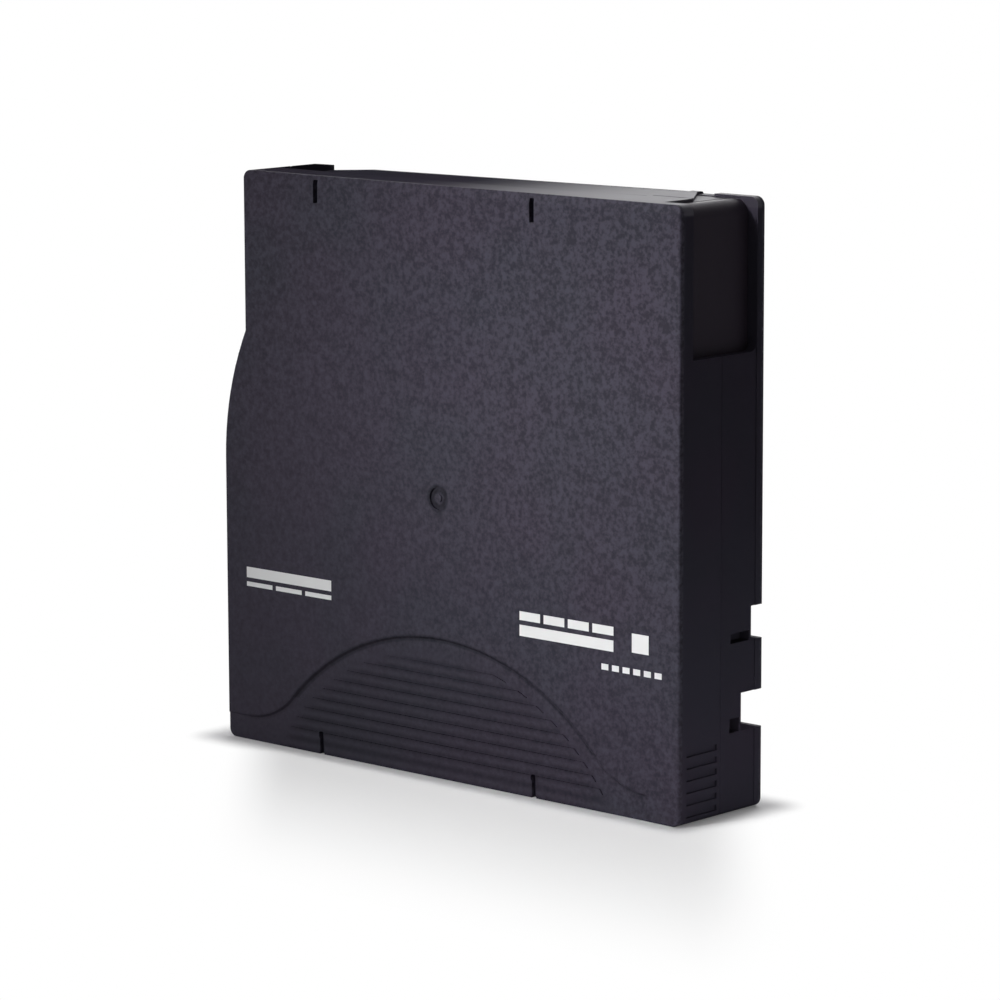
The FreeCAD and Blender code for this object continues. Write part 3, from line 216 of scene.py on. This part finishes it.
class Finish(NodeTree):
    """A material on one Principled shader."""

    def __init__(self, name, colour, roughness, metallic=0.0, specular=0.5):
        self.material = bpy.data.materials.new(name)
        self.material.use_nodes = True
        super().__init__(self.material.node_tree)
        self.shader = self.existing("BSDF_PRINCIPLED")
        self.set({"Base Color": (*colour, 1), "Roughness": roughness, "Metallic": metallic,
                  "Specular IOR Level": specular})
        self.material.diffuse_color = (*colour, 1)

    def set(self, sockets):
        for name, value in sockets.items():
            self.feed(self.shader.inputs[name], value)

    def object_place(self):
        return self.node("ShaderNodeTexCoord", output="Object")

    def place(self):
        """The frame's X, Y and Z, in metres."""
        parts = self.node("ShaderNodeSeparateXYZ", None, self.object_place())
        return [Amount(self, parts.node.outputs[index]) for index in range(3)]

    def around(self, centre):
        """Distance from an axis along Y through that X and Z."""
        across, _, height = self.place()
        return distance(across - centre[0], height - centre[1])

    def noise(self, size, detail=2.0, roughness=0.5, place=None):
        """Noise whose grains are about that size."""
        return Amount(self, self.node("ShaderNodeTexNoise", None, Vector=place or self.object_place(),
                                      Scale=1 / size, Detail=detail, Roughness=roughness))

    def blend(self, factor, first, second):
        """A colour between two others."""
        return self.node("ShaderNodeMix", {"data_type": "RGBA"}, output=2,
                         Factor=factor, A=colour_of(first), B=colour_of(second))

    def bump(self, height, depth):
        """Relief of that depth where height is 1."""
        self.set({"Normal": self.node("ShaderNodeBump", None, Height=height, Strength=1.0, Distance=depth)})


def colour_of(value):
    """A colour of three parts as one with its alpha. A link stays as it is."""
    return (*value, 1) if isinstance(value, tuple) else value


def grey(level, warm, cool):
    """A grey of linear level, leaning to red by warm and to blue by cool."""
    return (level * (1 + warm), level, level * (1 + cool))


def darker(colour):
    """The shade that a finish has where it is thin or worn."""
    return tuple(part * 0.8 for part in colour)


# ---------------------------------------------------------------- finishes

def grip_painted_shade(finish, across, height):
    """How bright the main face stays: under 1 where painted shade darkens the grip field's step, the
    grooves between its ribs and the dimple's wall.
    """
    from_centre = finish.around(GRIP_CENTRE)
    above_flare = height.rise(FLARE_TOP - 0.3 * MM, FLARE_TOP + 0.3 * MM)
    arch = from_centre.line(GRIP_RADIUS - 0.6 * MM, GRIP_RADIUS, soft=0.5 * MM) * above_flare
    side = abs(across - GRIP_MIDDLE)
    flare = distance(side - FLARE_OFFSET, height - FLARE_HEIGHT)
    flare = flare.line(FLARE_RADIUS, FLARE_RADIUS + 0.5 * MM, soft=0.5 * MM) * (1 - above_flare)
    flare = flare * (1 - side.rise(FLARE_OFFSET - 0.5 * MM, FLARE_OFFSET + 0.5 * MM))
    ribbed = (1 - from_centre.rise(44 * MM, 47 * MM)) * (1 - height.rise(20 * MM, 22 * MM))
    ribs = (1 - height.wave(RIB_PITCH, RIB_START)) * ribbed
    ring = finish.around(DIMPLE).line(*DIMPLE_SHADE_RING, soft=0.6 * MM)
    # painted shade along the arch and flare steps, between the ribs and round the dimple's wall
    return (1 - arch.most(flare * 0.45) * 0.4) * (1 - ribs * 0.34) * (1 - ring * 0.5)


def eroded_plastic(name, level, painted_shade=None):
    """The case's spark-eroded plastic: dark slate, mottled with fine grain on its two main faces."""
    finish = Finish(name, grey(level, 0.12, 0.45), 0.6, specular=0.0)
    across, depth, height = finish.place()
    main_face = abs(depth).rise(LOWER_FACE - 1.1 * MM, LOWER_FACE - 0.7 * MM)
    front_edge = height.rise(FRONT_EDGE - 2.0 * MM, FRONT_EDGE - 1.6 * MM) * (1 - main_face)

    # the grain's colour contrast is painted stronger towards the front edge and the door side, a painted
    # highlight on the grain, and less in the grip field
    fine = finish.noise(0.85 * MM, detail=3.0, roughness=0.6) - 0.5
    coarse = finish.noise(2.2 * MM, detail=2.0) - 0.5
    grain = fine * 0.85 + coarse * 0.3
    # painted highlight: the grain shows more to the door side and towards the front edge
    lit_grain_contrast = across.rise(-50 * MM, 55 * MM) * 0.6 + height.rise(0, 100 * MM) * 0.5
    field = 1 - (1 - finish.around(GRIP_CENTRE).rise(46 * MM, 49 * MM)) * 0.4
    speckle = (grain * main_face * field * (lit_grain_contrast * 2.8 + 0.6) + 0.5).rise(0.05, 0.95)
    shade = speckle * 0.46 + 0.54
    # painted shade in the grip field, on the upper shell's main face only
    if painted_shade:
        upper_side = depth.rise(0, -1 * MM)
        shade = shade * (1 - (1 - painted_shade(finish, across, height)) * main_face * upper_side)

    # the slate leans to plum in wide patches, and the front edge's gloss is painted stronger towards the
    # door as a painted highlight
    patches = finish.noise(20 * MM, detail=1.0).rise(0.3, 0.7)
    slate, plum = grey(level * 1.33, 0.05, 0.36), grey(level * 1.32, 0.15, 0.42)
    # painted highlight: more coat on the front edge towards the door
    glint_gloss = across.rise(-10 * MM, 40 * MM) * front_edge
    finish.set({"Base Color": finish.blend(shade, (0, 0, 0), finish.blend(patches, slate, plum)),
                "Roughness": 0.62 - speckle * main_face * 0.14,
                "Coat Weight": main_face * 0.1 + glint_gloss * 0.3, "Coat Roughness": 0.4})
    finish.bump(grain * (main_face * 0.8 + 0.2), 0.1 * MM)
    return finish


def smooth_plastic(name, colour, roughness, grain_depth=0.02 * MM, specular=0.4):
    """Plain moulded plastic with a faint grain."""
    finish = Finish(name, colour, roughness, specular=specular)
    grain = finish.noise(0.6 * MM, detail=3.0)
    finish.set({"Roughness": roughness + (grain - 0.5) * 0.1})
    finish.bump(grain, grain_depth)
    return finish


def metal(name, colour, roughness):
    """Metal with a fine uneven brightness, as drawing or stamping leaves it."""
    finish = Finish(name, colour, roughness, metallic=1.0)
    grain = finish.noise(0.35 * MM, detail=4.0, roughness=0.7)
    finish.set({"Base Color": finish.blend(grain.rise(0.35, 0.7), darker(colour), colour),
                "Roughness": roughness + (grain - 0.5) * 0.16})
    finish.bump(grain, 0.01 * MM)
    return finish


def wound_film(name):
    """The edges of many turns of dark film, as uneven rings about the reel's axis."""
    finish = Finish(name, FILM_COLOUR, 0.28)
    radius = finish.node("ShaderNodeCombineXYZ", None, finish.around(REEL_AXIS))
    rings = finish.noise(0.5 * MM, detail=5.0, roughness=0.75, place=radius)
    dark, light = (0.024, 0.017, 0.014), (0.052, 0.040, 0.034)
    finish.set({"Base Color": finish.blend(rings.rise(0.3, 0.7), dark, light),
                "Roughness": 0.2 + rings * 0.2})
    finish.bump(rings, 0.03 * MM)
    return finish


def board_laminate(name):
    """Green solder mask over a faint glass weave."""
    finish = Finish(name, (0.03, 0.13, 0.06), 0.3)
    along, across, height = finish.place()
    weave = (along - height).wave(0.5 * MM) * across.wave(0.35 * MM)
    dark, light = (0.026, 0.115, 0.05), (0.036, 0.15, 0.07)
    finish.set({"Base Color": finish.blend(weave, dark, light), "Roughness": 0.32 - weave * 0.06})
    finish.bump(weave, 0.01 * MM)
    return finish


def ink(name, colour):
    """Pad-printed ink, a little thin where the grain of the face shows through."""
    finish = Finish(name, colour, 0.55, specular=0.2)
    cover = finish.noise(0.5 * MM, detail=3.0).rise(0.25, 0.55)
    finish.set({"Base Color": finish.blend(cover, darker(colour), colour)})
    return finish


def dress():
    """Gives each CAD piece its finish."""
    wire = metal("spring_wire", WIRE_COLOUR, 0.25)
    finishes = {
        "upper_shell": eroded_plastic("case_upper", 0.038, grip_painted_shade),
        "lower_shell": eroded_plastic("case_lower", 0.036),
        "door": smooth_plastic("door_dark", (0.031, 0.025, 0.035), 0.5, specular=0.03),
        "case_screws": metal("zinc_screw", (0.46, 0.46, 0.47), 0.34),
        "door_spring": wire, "brake_spring": wire, "pin_spring_upper": wire, "pin_spring_lower": wire,
        "write_protect_tab": smooth_plastic("tab_red", (0.5, 0.07, 0.04), 0.45),
        "memory_board": board_laminate("board_green"),
        "memory_chip": smooth_plastic("chip_black", (0.02, 0.02, 0.022), 0.5),
        "reel_hub": smooth_plastic("reel_grey", REEL_COLOUR, 0.4),
        "reel_upper_flange": smooth_plastic("flange_grey", REEL_COLOUR, 0.4),
        "reel_plate": metal("plate_steel", (0.4, 0.4, 0.415), 0.36),
        "tape_pack": wound_film("tape_pack"),
        "tape_leader": smooth_plastic("tape_film", FILM_COLOUR, 0.2, 0.005 * MM, specular=0.5),
        "leader_pin": metal("pin_steel", (0.72, 0.72, 0.74), 0.15),
        "leader_pin_clip": smooth_plastic("clip_black", (0.05, 0.05, 0.055), 0.4),
        "brake_button": smooth_plastic("brake_white", (0.75, 0.75, 0.72), 0.45),
        "brake_release_spider": smooth_plastic("release_blue", (0.2, 0.28, 0.36), 0.45),
    }
    for name, finish in finishes.items():
        mesh = frame["nodes"][name].data
        mesh.materials.clear()
        mesh.materials.append(finish.material)


# ---------------------------------------------------------------- printed and wound pieces

class Pattern(NodeTree):
    """A geometry tree with named inputs for its sizes, which makes one plain mesh."""

    def __init__(self, name, finish, **sizes):
        super().__init__(bpy.data.node_groups.new(name, "GeometryNodeTree"))
        self.name, self.finish, self.sizes = name, finish, sizes
        sockets = self.tree.interface
        sockets.new_socket("Geometry", in_out="OUTPUT", socket_type="NodeSocketGeometry")
        self.identifiers = {}
        for label, size in sizes.items():
            kind = "NodeSocketInt" if isinstance(size, int) else "NodeSocketFloat"
            self.identifiers[label] = sockets.new_socket(label, in_out="INPUT", socket_type=kind).identifier
        inputs = self.tree.nodes.new("NodeGroupInput").outputs
        self.given = {label: Amount(self, inputs[label]) for label in sizes}

    def mesh(self, geometry):
        """Realizes the tree's last geometry with its material and gives it as a mesh."""
        real = self.node("GeometryNodeRealizeInstances", Geometry=geometry)
        dressed = self.node("GeometryNodeSetMaterial", Geometry=real, Material=self.finish.material)
        self.feed(self.tree.nodes.new("NodeGroupOutput").inputs[0], dressed)
        holder = bpy.data.objects.new(self.name, bpy.data.meshes.new(self.name))
        bpy.context.collection.objects.link(holder)
        modifier = holder.modifiers.new(self.name, "NODES")
        modifier.node_group = self.tree
        for label, size in self.sizes.items():
            modifier[self.identifiers[label]] = size
        seen = holder.evaluated_get(bpy.context.evaluated_depsgraph_get())
        mesh = bpy.data.meshes.new_from_object(seen)
        bpy.data.objects.remove(holder)
        return mesh


def add_piece(name, meshes, body):
    """One piece from several meshes that share a material, riding on a body."""
    joined = bmesh.new()
    for mesh in meshes:
        joined.from_mesh(mesh)
    bmesh.ops.recalc_face_normals(joined, faces=joined.faces)
    whole = bpy.data.meshes.new(name)
    joined.to_mesh(whole)
    joined.free()
    whole.materials.append(meshes[0].materials[0])
    piece = bpy.data.objects.new(name, whole)
    bpy.context.collection.objects.link(piece)
    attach(piece, body)
    return piece


def print_row(finish, left, height, width, rise, count=1, pitch=0.0):
    """A row of equal printed bars on the main face, from its left end to the right."""
    row = Pattern("print_row", finish, Count=count, Pitch=pitch, Width=width, Rise=rise,
                  Thickness=INK_THICKNESS)
    given = row.given
    step = row.node("ShaderNodeCombineXYZ", X=given["Pitch"])
    points = row.node("GeometryNodeMeshLine", {"mode": "OFFSET"}, Count=given["Count"], Offset=step)
    size = row.node("ShaderNodeCombineXYZ", X=given["Width"], Y=given["Thickness"], Z=given["Rise"])
    bar = row.node("GeometryNodeMeshCube", Size=size)
    mesh = row.mesh(row.node("GeometryNodeInstanceOnPoints", Points=points, Instance=bar))
    depth = MAIN_FACE - INK_THICKNESS * (0.5 - INK_SUNK)
    mesh.transform(Matrix.Translation((left + width / 2, depth, height)))
    return mesh


def add_prints():
    """Plain printed bars and blocks on the main face, above the grip field."""
    white, pale = ink("print_white", (0.62, 0.61, 0.63)), ink("print_pale", (0.24, 0.235, 0.25))
    left_block, right_block, square, dashes = -47.5 * MM, 17.8 * MM, 42.6 * MM, 36.0 * MM
    add_piece("printed_bars", [
        print_row(white, left_block, 30.5 * MM, width=21.0 * MM, rise=1.9 * MM),
        print_row(white, left_block, 28.4 * MM, width=6.4 * MM, rise=0.8 * MM, count=3, pitch=7.3 * MM),
        print_row(white, right_block, 31.0 * MM, width=4.6 * MM, rise=1.5 * MM, count=4, pitch=5.4 * MM),
        print_row(white, right_block, 28.5 * MM, width=20.8 * MM, rise=1.9 * MM),
        print_row(white, square, 29.6 * MM, width=3.6 * MM, rise=3.2 * MM)], "case")
    add_piece("printed_dashes", [
        print_row(pale, dashes, 24.8 * MM, width=1.5 * MM, rise=1.0 * MM, count=6, pitch=2.3 * MM)], "case")


def antenna_turns(finish, length, height):
    """Flat copper turns, each a little smaller than the one round it."""
    turns = Pattern("antenna_turns", finish, Count=5, Length=length, Height=height, Shrink=0.055,
                    Width=0.2 * MM, Thickness=0.04 * MM)
    given = turns.given
    loop = turns.node("GeometryNodeCurvePrimitiveQuadrilateral", Width=given["Length"],
                      Height=given["Height"])
    spots = turns.node("GeometryNodeMeshLine", {"mode": "OFFSET"}, Count=given["Count"], Offset=(0, 0, 0))
    order = Amount(turns, turns.node("GeometryNodeInputIndex"))
    loops = turns.node("GeometryNodeInstanceOnPoints", Points=spots, Instance=loop,
                       Scale=1 - order * given["Shrink"])
    lines = turns.node("GeometryNodeRealizeInstances", Geometry=loops)
    trace = turns.node("GeometryNodeCurvePrimitiveQuadrilateral", Width=given["Width"],
                       Height=given["Thickness"])
    return turns.mesh(turns.node("GeometryNodeCurveToMesh", Curve=lines, **{"Profile Curve": trace}))


def add_antenna():
    """The memory board's antenna, on the side that carries the chip."""
    low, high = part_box("memory_board")
    margin, length = 0.7 * MM, 10.8 * MM
    copper = metal("antenna_copper", (0.75, 0.42, 0.24), 0.35)
    turns = antenna_turns(copper, length, high.y - low.y - 2 * margin)
    along, up, out = Vector((1, 0, 1)).normalized(), Vector((0, 1, 0)), Vector((1, 0, -1)).normalized()
    place = (low + high) / 2 + out * BOARD_HALF_THICKNESS
    turns.transform(Matrix.Translation(place) @ Matrix((along, up, out)).transposed().to_4x4())
    add_piece("antenna_turns", [turns], "case")


def coil_spring(name, node, joint, axis, finish, radius, wire, coils):
    """A compression spring that stands for its CAD solid."""
    low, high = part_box(node)
    length = abs((high - low).dot(axis))
    spring = Pattern(name, finish, Coils=coils, Radius=radius, Rise=length - wire, Wire=wire / 2)
    given = spring.given
    line = spring.node("GeometryNodeCurveSpiral", Resolution=28, Rotations=given["Coils"],
                       Height=given["Rise"],
                       **{"Start Radius": given["Radius"], "End Radius": given["Radius"]})
    section = spring.node("GeometryNodeCurvePrimitiveCircle", Resolution=10, Radius=given["Wire"])
    mesh = spring.mesh(spring.node("GeometryNodeCurveToMesh", Curve=line,
                                   **{"Profile Curve": section, "Fill Caps": True}))
    mesh.transform(Matrix.Translation((low + high) / 2) @ axis.to_track_quat("Z", "X").to_matrix().to_4x4()
                   @ Matrix.Translation((0, 0, -(length - wire) / 2)))
    travel = next(moving["range_m"][1] for moving in frame["joints"] if moving["name"] == joint)
    piece = add_piece(name, [mesh], "case")
    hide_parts(node)
    1 - travel / length
    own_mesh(piece)


def add_springs():
    """The door's long thin coil and the brake's wide one."""
    steel = metal("coil_wire", WIRE_COLOUR, 0.25)
    coil_spring("door_coil", "door_spring", "door_slide", Vector((0, 0, 1)), steel,
                radius=0.85 * MM, wire=0.3 * MM, coils=22.0)
    coil_spring("brake_coil", "brake_spring", "brake_slide", Vector((0, 1, 0)), steel,
                radius=7.4 * MM, wire=0.7 * MM, coils=4.0)


# ---------------------------------------------------------------- stage, light and camera

def seen_by_eye(tree):
    """1 for what the camera, a gloss or a clear piece sees, 0 for light that falls on things."""
    path = tree.node("ShaderNodeLightPath").node.outputs
    seen = Amount(tree, path["Is Camera Ray"])
    for name in ("Is Glossy Ray", "Is Transmission Ray"):
        seen = seen.most(Amount(tree, path[name]))
    return seen


def painted_shadow_zone(finish):
    """How far the floor keeps its own lit shade instead of plain white: a painted shadow at the cartridge's
    foot and where its soft shadow falls. Inside it the cartridge's real shadow shows as well.
    """
    x, y, _ = finish.place()
    across, forward = x - CASE_MIDDLE.x, CASE_MIDDLE.y - y
    way_x, way_y = SHADOW_WAY
    near = ((across - CASE_HALF.x) / way_x).most((forward - CASE_HALF.y) / way_y)
    far = ((across + CASE_HALF.x) / way_x).least((forward + CASE_HALF.y) / way_y)
    fallen = (far - near).rise(0, SHADOW_SIDE) * far.rise(0, SHADOW_START)
    fallen = fallen * (1 - near.rise(0, SHADOW_REACH))
    out_x, out_y = (abs(across) - CASE_HALF.x).most(0), (abs(forward) - CASE_HALF.y).most(0)
    contact = 1 - distance(out_x, out_y).rise(0, CONTACT_REACH)
    return (fallen * FALLEN_SHARE).most(contact * CONTACT_SHARE)


def make_floor():
    """A pale floor that is plain white away from the cartridge and, in a painted soft shadow near it, shows
    its own lit shade with the cartridge's real shadow.
    """
    reach = 3.0
    corners = [(x * reach, y * reach, 0) for x, y in ((-1, -1), (1, -1), (1, 1), (-1, 1))]
    mesh = bpy.data.meshes.new("floor")
    mesh.from_pydata(corners, [], [(0, 1, 2, 3)])
    floor = bpy.data.objects.new("floor", mesh)
    bpy.context.collection.objects.link(floor)
    finish = Finish("floor_white", (0.83, 0.82, 0.84), 0.9, specular=0.0)
    # painted shadow: inside the zone the eye sees the floor's lit shade, darker than white
    away = 1 - painted_shadow_zone(finish)
    glow = finish.node("ShaderNodeEmission", None, Color=(1, 1, 1, 1), Strength=1.0)
    mixed = finish.node("ShaderNodeMixShader", None, seen_by_eye(finish) * away,
                        finish.shader.outputs["BSDF"], glow)
    finish.feed(finish.existing("OUTPUT_MATERIAL").inputs["Surface"], mixed)
    mesh.materials.append(finish.material)


def make_backdrop():
    """The world: white to the eye and in reflections, a low even light elsewhere."""
    world = bpy.data.worlds.new("backdrop")
    world.use_nodes = True
    backdrop = NodeTree(world.node_tree)
    ground = backdrop.existing("BACKGROUND")
    backdrop.feed(ground.inputs["Color"], (1, 1, 1, 1))
    backdrop.feed(ground.inputs["Strength"], seen_by_eye(backdrop) * (1 - AMBIENT) + AMBIENT)
    bpy.context.scene.world = world


def make_lamp(name, place, aim, size, power, spread=180):
    """A soft box. Its place and the point it is turned to are counted from the cartridge's middle."""
    lamp = bpy.data.lights.new(name, "AREA")
    lamp.shape = "RECTANGLE"
    lamp.size, lamp.size_y = size
    lamp.energy = power
    lamp.spread = math.radians(spread)
    holder = bpy.data.objects.new(name, lamp)
    bpy.context.collection.objects.link(holder)
    holder.location = CASE_MIDDLE + Vector(place)
    way = CASE_MIDDLE + Vector(aim) - holder.location
    holder.rotation_euler = way.to_track_quat("-Z", "Y").to_euler()


def add_lamps():
    """Soft light in front of the main face, a low gloss from either side, and light above and behind."""
    middle = (0, 0, 0)
    make_lamp("key", (-0.10, -0.44, 0.20), (0.045, 0, 0.012), size=(0.10, 0.10), power=0.058, spread=24)
    make_lamp("fill", (-0.30, -0.60, 0.50), middle, size=(0.4, 0.4), power=0.7)
    make_lamp("sheen", (-0.22, -0.26, -0.02), (0.02, 0, 0), size=(0.08, 0.05), power=0.06)
    make_lamp("low_right", (0.30, -0.10, -0.03), (0.05, 0, -0.06), size=(0.05, 0.03), power=0.004,
              spread=30)
    make_lamp("overhead", (0.0, 0.05, 0.70), middle, size=(0.5, 0.5), power=0.5)
    make_lamp("rear", (-0.20, 0.60, 0.30), middle, size=(0.4, 0.4), power=2.0)
    make_lamp("behind", (-0.42, 0.40, 0.04), middle, size=(0.3, 0.3), power=1.8)


def make_camera():
    """Looks at the front right corner from a little above the cartridge's middle."""
    yaw, pitch, roll = (math.radians(turn) for turn in (CAMERA_YAW, CAMERA_PITCH, CAMERA_ROLL))
    forward = Vector((-math.sin(yaw) * math.cos(pitch), math.cos(yaw) * math.cos(pitch), -math.sin(pitch)))
    level = Vector((math.cos(yaw), math.sin(yaw), 0))
    right = level * math.cos(roll) + level.cross(forward) * math.sin(roll)
    up = right.cross(forward)
    camera = bpy.data.cameras.new("camera")
    camera.lens, camera.sensor_width = LENS, SENSOR_WIDTH
    holder = bpy.data.objects.new("camera", camera)
    bpy.context.collection.objects.link(holder)
    turned = Matrix((right, up, -forward)).transposed().to_4x4()
    holder.matrix_world = Matrix.Translation(CAMERA_PLACE) @ turned
    bpy.context.scene.camera = holder


dress()
add_prints()
add_antenna()
add_springs()
make_floor()
make_backdrop()
add_lamps()
make_camera()

bpy.context.scene.view_settings.view_transform = "Standard"
